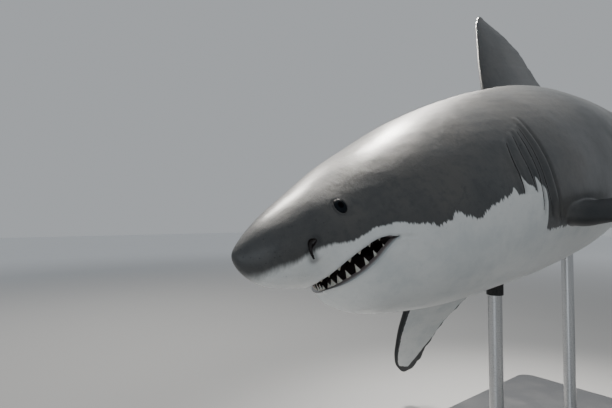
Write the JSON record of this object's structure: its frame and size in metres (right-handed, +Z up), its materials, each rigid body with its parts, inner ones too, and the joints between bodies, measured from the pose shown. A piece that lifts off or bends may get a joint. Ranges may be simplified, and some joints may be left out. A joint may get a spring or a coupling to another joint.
{
  "type": "great white shark display model",
  "caption": "Life-size great white shark banking nose down with its mouth a little open, held above a flat display base by short rods.",
  "frame": {"origin": "middle of the display base's underside, on the floor, under the shark's balance point", "axes": "+X from the snout towards the tail, +Y to the shark's right, +Z up"},
  "size_m": [4.236, 1.987, 2.6908],
  "materials": {
    "skin": "slate grey above and white below with a ragged edge between, satin, slightly wet",
    "belly_skin": "white, satin",
    "fin_skin": "dark slate, satin, black at the tips underneath",
    "eye": "black, glossy",
    "teeth": "ivory enamel",
    "stand_paint": "dark grey powder coat",
    "stand_steel": "brushed"
  },
  "bodies": {
    "root": {"head": "skin", "lower_jaw": "belly_skin", "gills": "skin", "trunk_front": "skin", "trunk_rear": "skin", "tail_stalk": "skin", "dorsal_fin_first": "fin_skin", "dorsal_fin_second": "fin_skin", "anal_fin": "belly_skin", "caudal_fin_upper": "fin_skin", "caudal_fin_lower": "fin_skin", "eye_left": "eye", "eye_right": "eye", "pectoral_fin_left": "fin_skin", "pectoral_fin_right": "fin_skin", "pelvic_fin_left": "belly_skin", "pelvic_fin_right": "belly_skin", "stand_base": "stand_paint", "stand_rod_front": "stand_steel", "stand_rod_rear": "stand_steel"}
  },
  "joints": []
}
